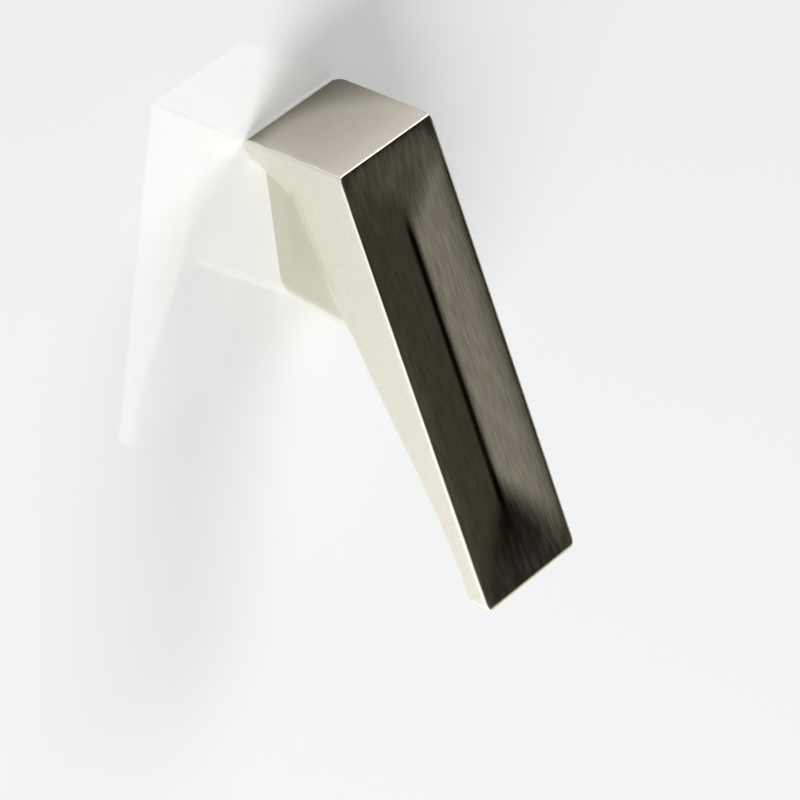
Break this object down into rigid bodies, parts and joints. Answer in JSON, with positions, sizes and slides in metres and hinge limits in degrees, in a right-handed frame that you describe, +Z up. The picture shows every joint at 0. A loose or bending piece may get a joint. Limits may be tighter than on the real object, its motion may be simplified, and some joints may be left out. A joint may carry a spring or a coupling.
{
  "type": "sash lift handle",
  "caption": "One-post sash lift: a slim wedge arm with a hollowed front face hangs from a square head, and its hollow post locks on a hidden dovetail plate.",
  "frame": {"origin": "on the face of the sash rail, midway between the two plate screws", "axes": "+Z up the rail, +Y into the rail, the handle reaching towards -Y, X across the arm"},
  "size_m": [0.018, 0.0489, 0.0632],
  "materials": {
    "satin_nickel": "satin nickel plate on a zinc casting: top and front faces brushed lengthwise, the rest bead-blasted",
    "zinc_plated_steel": "bright zinc plated",
    "screw_steel": "bright zinc plated",
    "black_steel": "blackened hardened steel"
  },
  "bodies": {
    "handle": {"handle_body": "satin_nickel", "mounting_plate": "zinc_plated_steel", "plate_screws": "screw_steel"},
    "set_screw": {"grub_screw": "black_steel"}
  },
  "joints": [
    {"name": "grub_screw_travel", "type": "slide", "parent": "handle", "child": "set_screw", "axis": [0, 0, -1], "range_m": [0, 0.0025]}
  ]
}
